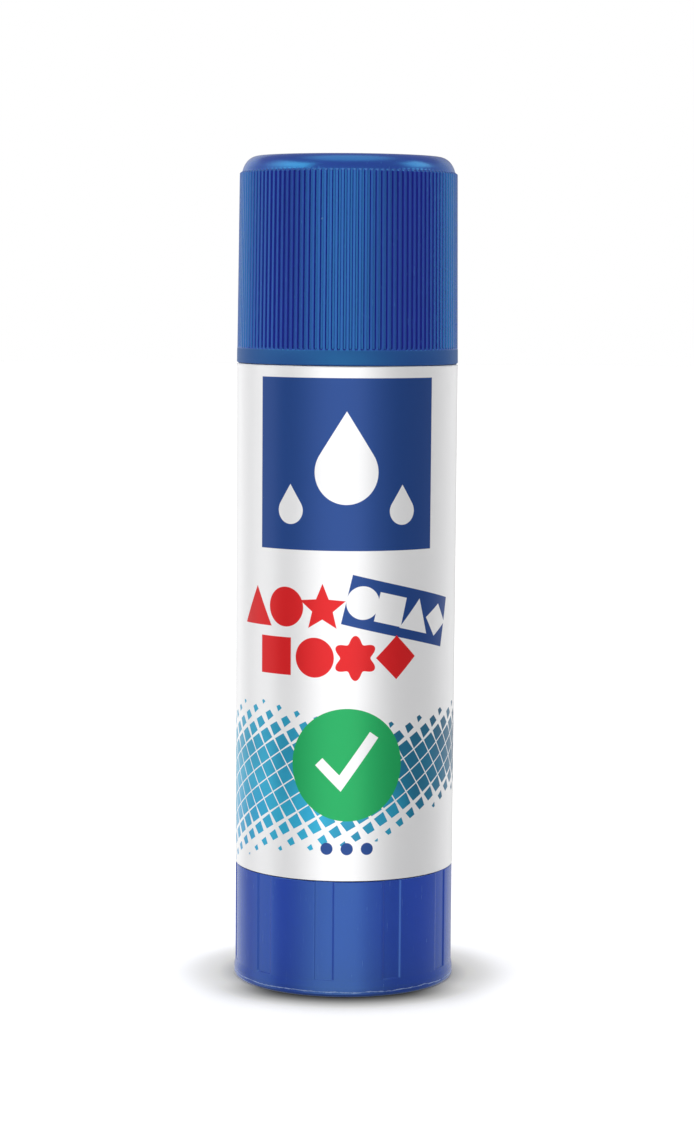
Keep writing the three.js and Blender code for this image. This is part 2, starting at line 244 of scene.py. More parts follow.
def arc_corner(before, corner, after, fillet, steps):
    """Points of the arc that rounds a corner of an outline."""
    a = np.array(before) - corner
    b = np.array(after) - corner
    length_a, length_b = np.linalg.norm(a), np.linalg.norm(b)
    a, b = a / length_a, b / length_b
    half = math.acos(np.clip(a @ b, -1, 1)) / 2
    if fillet <= 0 or math.pi / 2 - half < 1e-3:
        return [tuple(corner)]
    reach = min(fillet / math.tan(half), 0.49 * length_a, 0.49 * length_b)
    radius = reach * math.tan(half)
    middle = (a + b) / np.linalg.norm(a + b)
    centre = corner + middle * radius / math.sin(half)
    sweep = math.pi - 2 * half
    start = (corner + a * reach - centre) / radius
    side = (corner + b * reach - centre) / radius - start * math.cos(sweep)
    side = side / np.linalg.norm(side)
    turns = [sweep * i / steps for i in range(steps + 1)]
    return [tuple(centre + radius * (start * math.cos(t) + side * math.sin(t))) for t in turns]


def rounded(corners, steps=4, closed=True):
    """Outline of (radius, height) points, from corners of (radius, height, fillet)."""
    points = []
    count = len(corners)
    for i, (radius, height, fillet) in enumerate(corners):
        if not closed and i in (0, count - 1):
            points.append((radius, height))
            continue
        before = corners[i - 1][:2]
        after = corners[(i + 1) % count][:2]
        points += arc_corner(before, np.array((radius, height)), after, fillet, steps)
    return points


def with_heights(outline, heights, least_radius, closed=True):
    """The outline with points added where its stretches beyond a radius pass the heights."""
    result = []
    pairs = list(zip(outline, outline[1:] + outline[:1]))
    for i, (start, end) in enumerate(pairs):
        result.append(start)
        if (not closed and i == len(pairs) - 1) or min(start[0], end[0]) < least_radius:
            continue
        low, high = sorted((start[1], end[1]))
        inside = [height for height in heights if low + 0.01 < height < high - 0.01]
        for height in sorted(inside, reverse=start[1] > end[1]):
            share = (height - start[1]) / (end[1] - start[1])
            result.append((start[0] + share * (end[0] - start[0]), height))
    return result


def columns(count, marks=()):
    """Angles round the axis: even steps, which give way to the marks near them."""
    least = TURN / count * 0.45
    marks = sorted(mark % TURN for mark in marks)

    def is_free(angle):
        return all(abs((angle - mark + math.pi) % TURN - math.pi) > least for mark in marks)

    even = [i * TURN / count for i in range(count)]
    return np.array(sorted([angle for angle in even if is_free(angle)] + marks))


def shade(mesh, sharp_angle):
    """Shades a mesh smooth apart from its sharp edges."""
    mesh.polygons.foreach_set("use_smooth", [True] * len(mesh.polygons))
    mesh.set_sharp_from_angle(angle=math.radians(sharp_angle))


def made(name, vertices, faces, sharp_angle=SHARP):
    """A shaded mesh object from points in millimetres."""
    mesh = bpy.data.meshes.new(name)
    mesh.from_pydata((np.asarray(vertices) * MM).tolist(), [], faces)
    mesh.validate()
    shade(mesh, sharp_angle)
    piece = bpy.data.objects.new(name, mesh)
    bpy.context.scene.collection.objects.link(piece)
    return piece


def turned(name, outline, angles, reshape=None, closed=True, sharp_angle=SHARP):
    """An outline turned about the axis. Angles run from -Y towards +X.
    reshape(radius, height, angle) gives each point's new radius."""
    outline = np.array(outline)
    vertices, rows, faces = [], [], []
    for radius, height in outline:
        if radius < 1e-9:
            rows.append([len(vertices)] * len(angles))
            vertices.append((0, 0, height))
            continue
        radii = np.full(len(angles), radius)
        level = np.full(len(angles), height)
        if reshape:
            radii = reshape(radii, level, angles)
        rows.append(list(range(len(vertices), len(vertices) + len(angles))))
        vertices += list(zip(radii * np.sin(angles), -radii * np.cos(angles), level))
    pairs = list(zip(rows, rows[1:] + rows[:1]))
    if not closed:
        pairs = pairs[:-1]
    for row, next_row in pairs:
        for i in range(len(angles)):
            j = (i + 1) % len(angles)
            corners = [row[i], row[j], next_row[j], next_row[i]]
            distinct = list(dict.fromkeys(corners))
            if len(distinct) > 2:
                faces.append(distinct)
    return made(name, vertices, faces, sharp_angle)


def near_spoke(angle, count, turn=0.0):
    """Angle to the nearest of evenly spaced spokes, as a size without sign."""
    pitch = TURN / count
    return np.abs((angle - turn + pitch / 2) % pitch - pitch / 2)


def spoke_marks(count, halves, turn=0.0):
    """Angles at both sides of each spoke, at the given half widths."""
    offsets = [side * half for half in halves for side in (-1, 1)]
    return [turn + i * TURN / count + offset for i in range(count) for offset in offsets]


def spline_depth(angle):
    """How deep the splined surface lies at an angle."""
    share = near_spoke(angle, SPLINE_COUNT) / SPLINE_PITCH
    return SPLINE_DEPTH * ease((share - SPLINE_CREST / 2) / SPLINE_FLANK)


def spline_marks():
    """Angles where the splines' flanks start, are half down and end."""
    halves = [SPLINE_PITCH * (SPLINE_CREST / 2 + SPLINE_FLANK * share) for share in (0, 0.5, 1)]
    return spoke_marks(SPLINE_COUNT, halves)


def dress(piece, node, body, material):
    """Gives a piece its material and slot, and lets it stand for its node on its body."""
    piece.data.materials.clear()
    piece.data.materials.append(material)
    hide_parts(node)
    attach(piece, body)


def combined(piece, others, operation):
    """Joins or cuts a piece with others by booleans, which are applied."""
    for other in others:
        modifier = piece.modifiers.new(operation, "BOOLEAN")
        modifier.operation = operation
        modifier.object = other
        modifier.solver = "EXACT"
    graph = bpy.context.evaluated_depsgraph_get()
    mesh = bpy.data.meshes.new_from_object(piece.evaluated_get(graph))
    piece.modifiers.clear()
    piece.data = mesh
    for other in others:
        bpy.data.objects.remove(other)
    shade(mesh, JOINED_SHARP)


def block(name, inner, outer, width, foot, top, angle):
    """Upright web that runs outwards from the axis."""
    across, along = width / 2, Vector((math.sin(angle), -math.cos(angle), 0))
    side = Vector((along.y, -along.x, 0))
    corners = [
        along * reach + side * offset + Vector((0, 0, height))
        for height in (foot, top)
        for reach, offset in ((inner, -across), (outer, -across), (outer, across), (inner, across))
    ]
    faces = [(0, 1, 2, 3), (7, 6, 5, 4), (0, 4, 5, 1), (1, 5, 6, 2), (2, 6, 7, 3), (3, 7, 4, 0)]
    return made(name, [tuple(corner) for corner in corners], faces)


def threaded_rod(foot, top, thread_foot, thread_top, gap):
    """Points and faces of a rod with a left-hand trapezoid thread, which fades out at both ends.
    Each column of points climbs the helix, and the last column joins the first one turn on.
    A gap makes the rod and its thread larger all round, to cut the thread of a nut."""
    half_foot, half_crest = (THREAD_FOOT + 2 * gap) / 2, (THREAD_CREST + 2 * gap) / 2
    flank = [
        (half_foot + THREAD_SOFT, 0), (half_foot - THREAD_SOFT, 0.06),
        (half_crest + THREAD_SOFT, 0.9), (half_crest - THREAD_SOFT, 1),
    ]
    section = [(-offset, share) for offset, share in flank] + [(0, 1)]
    section += flank[::-1] + [(THREAD_LEAD / 2, 0)]
    first = math.floor((foot - FLANGE_TOP) / THREAD_LEAD) - 2
    last = math.ceil((top - FLANGE_TOP) / THREAD_LEAD) + 3
    length = (last - first) * len(section)
    vertices = []
    for k in range(THREAD_COLUMNS):
        angle = -k * TURN / THREAD_COLUMNS
        for turn_number in range(first, last):
            for offset, share in section:
                height = FLANGE_TOP + (turn_number + k / THREAD_COLUMNS) * THREAD_LEAD + offset
                turns_in = min(height - thread_foot, thread_top - height) / THREAD_LEAD
                growth = float(ease(turns_in / THREAD_FADE))
                radius = CORE_RADIUS + gap + (THREAD_RADIUS - CORE_RADIUS) * share * growth
                height = min(max(height, foot), top)
                radius -= max(0.0, TIP_TAPER - (top - height))
                vertices.append((radius * math.sin(angle), -radius * math.cos(angle), height))
    faces = []
    for k in range(THREAD_COLUMNS):
        wrap = len(section) if k == THREAD_COLUMNS - 1 else 0
        for i in range(length - 1):
            if i + 1 + wrap < length:
                a, b = k * length + i, k * length + i + 1
                c = (k + 1) % THREAD_COLUMNS * length + i + wrap
                faces.append((a, c, c + 1, b))
    return vertices, faces


def rod(name, foot, top, thread_foot, thread_top, gap=0.0):
    """The threaded rod as a closed piece, its clamped ends merged and capped."""
    vertices, faces = threaded_rod(foot, top, thread_foot, thread_top, gap)
    piece = made(name, vertices, faces)
    work = bmesh.new()
    work.from_mesh(piece.data)
    bmesh.ops.remove_doubles(work, verts=work.verts, dist=0.002 * MM)
    bmesh.ops.dissolve_degenerate(work, edges=work.edges, dist=0.001 * MM)
    loose = [vertex for vertex in work.verts if not vertex.link_faces]
    bmesh.ops.delete(work, geom=loose, context="VERTS")
    rims = [edge for edge in work.edges if edge.is_boundary]
    bmesh.ops.holes_fill(work, edges=rims, sides=0)
    bmesh.ops.recalc_face_normals(work, faces=work.faces)
    work.to_mesh(piece.data)
    work.free()
    shade(piece.data, JOINED_SHARP)
    return piece


# Materials

class Value:
    """A number that varies over a surface, held as the output socket of a shader node."""

    def __init__(self, nodes, socket):
        self.nodes = nodes
        self.socket = socket

    def math(self, operation, *others):
        return self.nodes.math(operation, self, *others)

    def __add__(self, other):
        return self.math("ADD", other)

    def __sub__(self, other):
        return self.math("SUBTRACT", other)

    def __rsub__(self, other):
        return self.nodes.math("SUBTRACT", other, self)

    def __mul__(self, other):
        return self.math("MULTIPLY", other)

    def __truediv__(self, other):
        return self.math("DIVIDE", other)

    def __neg__(self):
        return self.math("MULTIPLY", -1.0)

    __radd__ = __add__
    __rmul__ = __mul__


class Nodes:
    """Adds and links the nodes of one material."""

    def __init__(self, name):
        self.material = bpy.data.materials.new(name)
        self.material.use_nodes = True
        self.tree = self.material.node_tree
        self.shader = next(node for node in self.tree.nodes if node.type == "BSDF_PRINCIPLED")

    @classmethod
    def of_world(cls, name):
        """The nodes of the surroundings instead of a material."""
        nodes = cls.__new__(cls)
        world = bpy.data.worlds.new(name)
        world.use_nodes = True
        bpy.context.scene.world = world
        nodes.tree = world.node_tree
        nodes.shader = nodes.tree.nodes["Background"]
        return nodes

    def add(self, kind, **settings):
        node = self.tree.nodes.new(kind)
        for key, value in settings.items():
            setattr(node, key, value)
        return node

    def feed(self, socket, value):
        if isinstance(value, Value):
            value = value.socket
        if isinstance(value, bpy.types.NodeSocket):
            self.tree.links.new(value, socket)
        else:
            socket.default_value = value

    def math(self, operation, *values, clamp=False):
        node = self.add("ShaderNodeMath", operation=operation, use_clamp=clamp)
        for socket, value in zip(node.inputs, values):
            self.feed(socket, value)
        return Value(self, node.outputs[0])

    def position(self):
        """X, Y and Z on the piece at rest, in millimetres, and the vector in metres."""
        place = self.add("ShaderNodeTexCoord").outputs["Object"]
        split = self.add("ShaderNodeSeparateXYZ")
        self.tree.links.new(place, split.inputs[0])
        return [Value(self, split.outputs[i]) / MM for i in range(3)] + [place]

    def stretched(self, place, scales):
        """The place scaled along each axis, for grain that runs one way."""
        node = self.add("ShaderNodeVectorMath", operation="MULTIPLY")
        self.tree.links.new(place, node.inputs[0])
        node.inputs[1].default_value = scales
        return node.outputs[0]

    def noise(self, place, scale, detail=2.0, roughness=0.5):
        node = self.add("ShaderNodeTexNoise")
        self.tree.links.new(place, node.inputs["Vector"])
        node.inputs["Scale"].default_value = scale
        node.inputs["Detail"].default_value = detail
        node.inputs["Roughness"].default_value = roughness
        return Value(self, node.outputs["Fac"])

    def between(self, value, low, high, kind="LINEAR"):
        """Goes from 0 to 1 as a value goes from low to high, and not past either."""
        node = self.add("ShaderNodeMapRange", interpolation_type=kind)
        self.feed(node.inputs["Value"], value)
        node.inputs["From Min"].default_value = low
        node.inputs["From Max"].default_value = high
        return Value(self, node.outputs["Result"])

    def smooth(self, value, low, high):
        """The same, eased at both ends."""
        return self.between(value, low, high, "SMOOTHSTEP")

    def mixed(self, share, first, second):
        """Colour that goes from the first to the second as the share goes from 0 to 1."""
        node = self.add("ShaderNodeMix", data_type="RGBA")
        self.feed(node.inputs["Factor"], share)
        self.feed(node.inputs["A"], first)
        self.feed(node.inputs["B"], second)
        return node.outputs["Result"]

    def bump(self, height, distance):
        """Normal bent by a height from 0 to 1 that stands for a distance in millimetres."""
        node = self.add("ShaderNodeBump")
        node.inputs["Distance"].default_value = distance * MM
        self.feed(node.inputs["Height"], height)
        return node.outputs["Normal"]

    def finish(self, colour, roughness, normal=None, **constants):
        """Feeds the shader and sets what is the same all over."""
        self.feed(self.shader.inputs["Base Color"], colour)
        self.feed(self.shader.inputs["Roughness"], roughness)
        if normal is not None:
            self.tree.links.new(normal, self.shader.inputs["Normal"])
        for socket, value in constants.items():
            self.shader.inputs[socket.replace("_", " ")].default_value = value
        return self.material


def ink(red, green, blue):
    """Linear colour with alpha, from sRGB in 0 to 255."""
    def linear(share):
        return share / 12.92 if share <= 0.04045 else ((share + 0.055) / 1.055) ** 2.4
    return tuple(linear(channel / 255) for channel in (red, green, blue)) + (1.0,)


def scaled(colour, factor):
    """A colour made lighter or darker."""
    return tuple(channel * factor for channel in colour[:3]) + (1.0,)


# Blue plastic: how far each mark changes the colour, and how much roughness it adds
FLOW_TINT = 0.07
SCRATCH_TINT, SCRATCH_ROUGH = 0.05, 0.08
DUST_TINT, DUST_ROUGH = 0.35, 0.3
SCUFF_TINT, SCUFF_ROUGH = 0.8, 0.25
SATIN_TINT, SATIN_ROUGH = 0.6, 0.25
SMUDGE_ROUGH = 0.08
SCRATCH_INK = ink(150, 165, 215)
DUST_INK = ink(190, 195, 215)
SCUFF_INK = ink(165, 180, 225)
# Half the scuffed line's width, how far it strays, and half the height over which satin begins
SCUFF_HALF = 0.13
SCUFF_STRAY = 0.5
SATIN_EDGE = 0.1


def blue_plastic(
    name, colour, gloss, ior, roughness, grain, specks, scuff_height=None, satin_height=None,
):
    """Moulded blue plastic: faint flow marks, fine grain, fine upright scratches and dust.
    It can have a scuffed line at one height, and a satin finish below another."""
    n = Nodes(name)
    z, place = n.position()[2:]
    flow = n.noise(n.stretched(place, (1, 1, 0.25)), 120, 3)
    fine = n.noise(place, 2600, 2)
    smudge = n.noise(place, 160, 4, 0.6)
    scratch = n.between(n.noise(n.stretched(place, (9, 9, 0.5)), 700, 2), 0.66, 0.78)
    dark, pale = scaled(colour, 1 - FLOW_TINT), scaled(colour, 1 + FLOW_TINT)
    tint = n.mixed(n.between(flow, 0.3, 0.7), dark, pale)
    tint = n.mixed(scratch * SCRATCH_TINT, tint, SCRATCH_INK)
    dust = n.between(n.noise(place, specks, 1), 0.8, 0.83)
    tint = n.mixed(dust * DUST_TINT, tint, DUST_INK)
    rough = n.between(smudge, 0.25, 0.75) * SMUDGE_ROUGH + (roughness - SMUDGE_ROUGH / 2)
    rough = rough + scratch * SCRATCH_ROUGH + dust * DUST_ROUGH
    height = fine * 0.7 + scratch * 0.6
    if satin_height is not None:
        satin = 1 - n.smooth(z, satin_height - SATIN_EDGE, satin_height + SATIN_EDGE)
        tint = n.mixed(satin, tint, scaled(colour, SATIN_TINT))
        rough = rough + satin * SATIN_ROUGH
    if scuff_height is not None:
        ragged = n.noise(n.stretched(place, (1, 1, 3)), 900, 4, 0.7)
        stray = (n.noise(n.stretched(place, (1, 1, 0)), 320, 3) - 0.5) * SCUFF_STRAY
        line = 1 - (z - scuff_height - stray).math("ABSOLUTE") / SCUFF_HALF
        scuff = n.between(line + (ragged - 0.5) * 2.6, 0.35, 0.85)
        tint = n.mixed(scuff * SCUFF_TINT, tint, SCUFF_INK)
        rough = rough + scuff * SCUFF_ROUGH
    return n.finish(
        tint, rough, n.bump(height, grain),
        Specular_Tint=gloss, IOR=ior, Specular_IOR_Level=1.0,
    )


def white_plastic(name, colour, roughness, milky=0.0):
    """Plain white moulding with a satin grain and a faint flow pattern."""
    n = Nodes(name)
    place = n.position()[3]
    flow = n.noise(n.stretched(place, (1, 1, 0.3)), 140, 3)
    fine = n.noise(place, 1800, 3)
    tint = n.mixed(flow, scaled(colour, 0.95), colour)
    rough = fine * 0.12 + (roughness - 0.06)
    constants = {}
    if milky:
        constants = {"Subsurface_Weight": milky, "Subsurface_Radius": (2 * MM, 2 * MM, 2 * MM)}
    return n.finish(tint, rough, n.bump(fine, 0.02), **constants)


def glue_wax(name):
    """Blue adhesive: soft, slightly translucent, with small pits and streaks from casting. The pits
    are also painted darker, as shade.
    """
    n = Nodes(name)
    place = n.position()[3]
    cloud = n.noise(place, 220, 4, 0.6)
    pit_and_painted_shade = n.between(n.noise(place, 900, 1), 0.7, 0.76)
    streak = n.noise(n.stretched(place, (8, 8, 0.6)), 260, 2)
    tint = n.mixed(n.between(cloud, 0.3, 0.7), ink(58, 104, 196), ink(78, 126, 214))
    # Painted shade: the colour goes darker in the pits
    tint = n.mixed(pit_and_painted_shade * 0.5, tint, ink(34, 70, 158))
    rough = cloud * 0.2 + 0.32 + pit_and_painted_shade * 0.2
    height = cloud * 0.5 + streak * 0.4 - pit_and_painted_shade * 1.2
    return n.finish(
        tint, rough, n.bump(height, 0.12),
        Subsurface_Weight=0.25, Subsurface_Radius=(0.6 * MM, 1.2 * MM, 3 * MM),
    )


# The label's inks, and its print on the unrolled film: how far across from the middle of the
# front and how high a shape is, then its sizes
NAVY = ink(18, 68, 142)
RED = ink(226, 8, 18)
GREEN = ink(8, 172, 94)
PAPER = ink(250, 250, 251)
CYAN = ink(8, 160, 212)
SKY = ink(44, 178, 216)
TEAL = ink(14, 128, 166)
DEEP = ink(24, 84, 116)
PRINT_EDGE = 0.05
NAVY_PANEL = (0.0, 73.65, 26.2, 23.5)
DROPS = [(0.0, 72.6, 4.4), (-8.0, 67.3, 1.9), (8.0, 67.3, 1.9)]
BANNER = (8.4, 53.35, 16.9, 6.95)
BANNER_TILT = -13.3
GREEN_DISC = (0.35, 32.45, 7.8)
TICK = (-0.6, 29.9, 4.2, 8.2, 1.45)
DOTS = [(-2.4, 20.8, 0.85), (0.4, 20.8, 0.85), (3.2, 20.8, 0.85)]
TILE_PITCH = 2.1
TILE_GAP = 0.17
TILE_COSINE = math.cos(math.radians(33))
TILE_SINE = math.sin(math.radians(33))
# Middle and half height of the tiled band at the front, and how much these change at the sides
TILES_MIDDLE, TILES_CLIMB = 30.4, 2.2
TILES_HALF, TILES_NARROWING = 9.3, 2.5
TILES_RIPPLE = 0.12


class Print:
    """Shapes printed on the label, as distances on the unrolled film in millimetres."""

    def __init__(self, nodes, across, height):
        self.nodes = nodes
        self.across = across
        self.height = height

    def placed(self, across, height, tilt=0.0):
        """Place relative to a point, turned anticlockwise by the tilt in degrees."""
        u, v = self.across - across, self.height - height
        if not tilt:
            return u, v
        c, s = math.cos(math.radians(tilt)), math.sin(math.radians(tilt))
        return u * c + v * s, v * c - u * s

    def mask(self, distance):
        """1 inside a shape and 0 outside it."""
        return self.nodes.math("MULTIPLY_ADD", distance, -1 / PRINT_EDGE, 0.5, clamp=True)

    def box(self, across, height, wide, tall, tilt=0.0):
        u, v = self.placed(across, height, tilt)
        return (u.math("ABSOLUTE") - wide / 2).math("MAXIMUM", v.math("ABSOLUTE") - tall / 2)

    def disc(self, across, height, radius):
        u, v = self.placed(across, height)
        return (u * u + v * v).math("SQRT") - radius

    def triangle(self, across, height, wide, tall, tilt=0.0):
        u, v = self.placed(across, height, tilt)
        slope = math.hypot(tall, wide / 2)
        sides = (u.math("ABSOLUTE") * tall + v * (wide / 2)) / slope - tall * wide / 4 / slope
        return sides.math("MAXIMUM", -v - tall / 2)

    def star(self, across, height, radius, points=5, waist=0.45):
        """Star by the edge from a tip to the waist, folded round its middle."""
        u, v = self.placed(across, height)
        half = math.pi / points
        away = (u * u + v * v).math("SQRT")
        turn = (u.math("ARCTAN2", v) + half).math("FLOORED_MODULO", 2 * half)
        fold = (turn - half).math("ABSOLUTE")
        along, aside = away * fold.math("COSINE"), away * fold.math("SINE")
        run, climb = radius * (waist * math.cos(half) - 1), radius * waist * math.sin(half)
        edge = Vector((run, climb)).normalized()
        return along * edge.y - aside * edge.x - radius * edge.y

    def flower(self, across, height, radius, petals=6):
        u, v = self.placed(across, height)
        wave = (u.math("ARCTAN2", v) * petals).math("COSINE")
        return (u * u + v * v).math("SQRT") - radius * 0.84 + wave * (radius * -0.16)

    def drop(self, across, height, radius):
        """Round drop with a point above it."""
        u, v = self.placed(across, height)
        side = math.radians(58)
        flank = u.math("ABSOLUTE") * math.sin(side) + v * math.cos(side) - radius
        tip = flank.math("MAXIMUM", radius * math.cos(side) - v)
        return self.disc(across, height, radius).math("MINIMUM", tip)

    def tick(self, across, height, short, long, wide):
        """Tick of two arms that meet in a corner, 45 and 35 degrees off the upright."""
        short_u, short_v = self.placed(across, height, 45.0)
        long_u, long_v = self.placed(across, height, -35.0)
        left = (short_u.math("ABSOLUTE") - wide / 2).math("MAXIMUM", short_v - short)
        right = (long_u.math("ABSOLUTE") - wide / 2).math("MAXIMUM", long_v - long)
        left = left.math("MAXIMUM", long_u - wide / 2)
        return right.math("MAXIMUM", -short_u - wide / 2).math("MINIMUM", left)


def label_film(name, radius):
    """Pearly printed film with a tiled band that goes right round and shapes at the front."""
    n = Nodes(name)
    x, y, z, place = n.position()
    across = x.math("ARCTAN2", -y) * radius
    p = Print(n, across, z)

    # Band of slanted tiles, which shrink towards its edges
    turn = across / radius
    lean = turn.math("SINE")
    rise = (z - TILES_MIDDLE - lean * TILES_CLIMB) / (TILES_HALF - lean * TILES_NARROWING)
    ripple = (turn * 3 + 0.8).math("SINE") * TILES_RIPPLE
    strength = n.between(1 - (rise + ripple).math("ABSOLUTE"), 0.02, 0.62)
    slant_u = (across * TILE_COSINE + z * TILE_SINE) / TILE_PITCH
    slant_v = (z * TILE_COSINE - across * TILE_SINE) / TILE_PITCH
    u = (slant_u.math("FLOORED_MODULO", 1.0) - 0.5).math("ABSOLUTE")
    v = (slant_v.math("FLOORED_MODULO", 1.0) - 0.5).math("ABSOLUTE")
    half = strength.math("SQRT") * (TILE_PITCH / 2 - TILE_GAP / 2)
    tile = u.math("MAXIMUM", v) * TILE_PITCH - half
    patches = n.noise(n.stretched(place, (1, 1, 0.6)), 130, 1)
    tone = n.between(lean * 0.55 + rise * 0.2 + (patches - 0.5) * 1.1, -0.75, 0.75)
    tiles = n.mixed(n.between(tone, 0.0, 0.3), CYAN, SKY)
    tiles = n.mixed(n.between(tone, 0.3, 0.62), tiles, TEAL)
    tiles = n.mixed(n.between(tone, 0.62, 1.0), tiles, DEEP)
    colour = n.mixed(p.mask(tile) * n.between(strength, 0.0, 0.05), PAPER, tiles)

    # Panel with three drops, a tilted banner with cut-paper shapes on it, beside it and below it,
    # a disc with a tick, and three dots, printed in this order
    shapes = [(p.box(*NAVY_PANEL), NAVY)]
    shapes += [(p.drop(*drop), PAPER) for drop in DROPS]
    shapes += [
        (p.box(*BANNER, BANNER_TILT), NAVY),
        (p.disc(2.4, 54.8, 2.3), PAPER),
        (p.box(6.4, 53.8, 4.1, 4.1, BANNER_TILT), PAPER),
        (p.triangle(10.6, 52.9, 4.9, 4.5, BANNER_TILT), PAPER),
        (p.box(14.6, 51.9, 3.2, 3.2, BANNER_TILT + 45.0), PAPER),
        (p.triangle(-14.0, 53.9, 5.8, 5.4), RED),
        (p.disc(-8.7, 54.0, 2.75), RED),
        (p.star(-3.2, 54.0, 3.4), RED),
        (p.box(-10.4, 47.2, 5.2, 5.2), RED),
        (p.disc(-4.3, 47.2, 2.75), RED),
        (p.flower(1.4, 47.2, 3.1), RED),
        (p.box(7.3, 47.2, 4.3, 4.3, 45.0), RED),
        (p.disc(*GREEN_DISC), GREEN),
        (p.tick(*TICK), PAPER),
    ]
    shapes += [(p.disc(*dot), NAVY) for dot in DOTS]
    for shape, tint in shapes:
        colour = n.mixed(p.mask(shape), colour, tint)

    cloud = n.noise(place, 90, 3)
    fine = n.noise(place, 1500, 2)
    rough = cloud * 0.06 + 0.35
    return n.finish(
        colour, rough, n.bump(cloud + fine * 0.1, 0.04),
        Metallic=0.7, Coat_Weight=0.45, Coat_Roughness=0.12,
    )


cap_blue = blue_plastic(
    "cap_blue", ink(43, 32, 143), gloss=(0.065, 0.58, 0.93, 1.0), ior=1.9, roughness=0.22,
    grain=0.012, specks=520, satin_height=CAP_MOUTH + BAND_HEIGHT,
)
knob_blue = blue_plastic(
    "knob_blue", ink(11, 32, 149), gloss=(0.25, 0.57, 0.92, 1.0), ior=1.8, roughness=0.2,
    grain=0.008, specks=460, scuff_height=0.75,
)
liner_white = white_plastic("liner_white", ink(233, 238, 242), 0.42, 0.3)
barrel_white = white_plastic("barrel_white", ink(243, 244, 245), 0.36)
screw_white = white_plastic("screw_white", ink(240, 241, 241), 0.4)
carrier_white = white_plastic("carrier_white", ink(240, 241, 241), 0.42)
glue_blue = glue_wax("glue_blue")
film_print = label_film("film_print", OUTER_RADIUS)


# Pieces

def cap_line(height):
    """How far the cap's draft has narrowed it at a height."""
    return (height - CAP_MOUTH) * CAP_DRAFT


def make_cap():
    band_top = CAP_MOUTH + BAND_HEIGHT
    dome_foot = CAP_TOP - DOME_RISE
    tip_foot = CAP_TOP - RIB_END - RIB_TIP
    tip_top = CAP_TOP - RIB_END + RIB_TIP
    crest = OUTER_RADIUS - BAND_PROUD
    dome_radius = crest - RIB_DEPTH - cap_line(dome_foot)

    def dome_line(height):
        """Radius of the dome at a height, and of the valleys' floor below it."""
        share = np.clip((height - dome_foot) / DOME_RISE, 0, 1)
        inset = DOME_INSET * (1 - np.sqrt(1 - share ** 2))
        floor = crest - RIB_DEPTH - cap_line(height)
        return np.where(height < dome_foot, floor, dome_radius - inset)

    roof = CAP_TOP - CAP_ROOF
    corners = [
        (0, roof, 0),
        (CAP_BORE - cap_line(roof), roof, CAP_ROOF_FILLET),
        (CAP_BORE, CAP_MOUTH, CAP_EDGE),
        (OUTER_RADIUS, CAP_MOUTH, CAP_EDGE),
        (OUTER_RADIUS - cap_line(band_top), band_top - BAND_STEP, 0),
        (crest - cap_line(band_top), band_top + BAND_STEP, 0),
        (crest - cap_line(tip_foot), tip_foot, RIB_TIP_FILLET),
    ]
    dome = []
    start = math.asin((tip_top - dome_foot) / DOME_RISE)
    for i in range(DOME_STEPS + 1):
        angle = start + (math.pi / 2 - start) * i / DOME_STEPS
        height = dome_foot + DOME_RISE * math.sin(angle)
        dome.append((dome_radius - DOME_INSET * (1 - math.cos(angle)), height, 0))
    top = [(CAP_FLAT_RADIUS, CAP_TOP, 0), (0, CAP_TOP, 0)]
    outline = rounded(corners + dome + top, 5, closed=False)
    # Rows of points where the ribs begin, between there and the dome, and round the ribs' tips
    heights = [band_top + VALLEY_ROW_STEP * (i + 1) for i in range(VALLEY_ROWS)]
    heights += RIB_ROWS
    heights += [dome_foot + (tip_foot - dome_foot) * i / 3 for i in range(3)]
    heights += [tip_foot + RIB_TIP * i / 3 for i in range(-1, 7)]
    outline = with_heights(outline, heights, CAP_BORE + 0.2, closed=False)
    pitch = TURN / RIB_COUNT

    def ribs(radius, height, angle):
        """Lowers the outside between the ribs, to the dome's line."""
        away = near_spoke(angle, RIB_COUNT) / pitch
        middle = (0.5 - away) * pitch * OUTER_RADIUS
        run = VALLEY_END - np.sqrt(np.maximum(VALLEY_END ** 2 - middle ** 2, 0))
        opening = ease((height - band_top - BAND_STEP - run) / VALLEY_RISE)
        valley = ease((away - RIB_CREST) / RIB_FLANK) * opening
        line = crest - cap_line(height)
        floor = line - (line - dome_line(height)) * valley
        sloped = radius - (radius - dome_line(height)) * valley
        ribbed = (radius > CAP_BORE + 0.3) & (height > band_top) & (height < tip_top)
        return np.where(ribbed, np.minimum(floor, sloped), radius)

    marks = spoke_marks(RIB_COUNT, [share * pitch for share in RIB_COLUMNS])
    angles = np.array(sorted({round(mark % TURN, 7) for mark in marks}))
    angles = angles[np.append(np.diff(angles) > 1e-5, True)]
    cap = turned("cap_shell", outline, angles, ribs, closed=False, sharp_angle=50)
    dress(cap, "cap", "cap", cap_blue)


def make_liner():
    outer = CAP_BORE - LINER_GAP
    inner_roof = LINER_TOP - LINER_WALL
    inner_top = outer - cap_line(inner_roof) - LINER_WALL
    corners = [
        (0, inner_roof, 0),
        (inner_top, inner_roof, LINER_FILLET),
        (outer - cap_line(LINER_FOOT) - LINER_WALL, LINER_FOOT, LINER_EDGE),
        (outer - cap_line(LINER_FOOT), LINER_FOOT, LINER_EDGE),
        (outer - cap_line(LINER_TOP), LINER_TOP, CAP_ROOF_FILLET),
        (0, LINER_TOP, 0),
    ]
    liner = turned("cap_seal", rounded(corners, 6, closed=False), columns(120), closed=False)
    dress(liner, "cap_liner", "cap", liner_white)


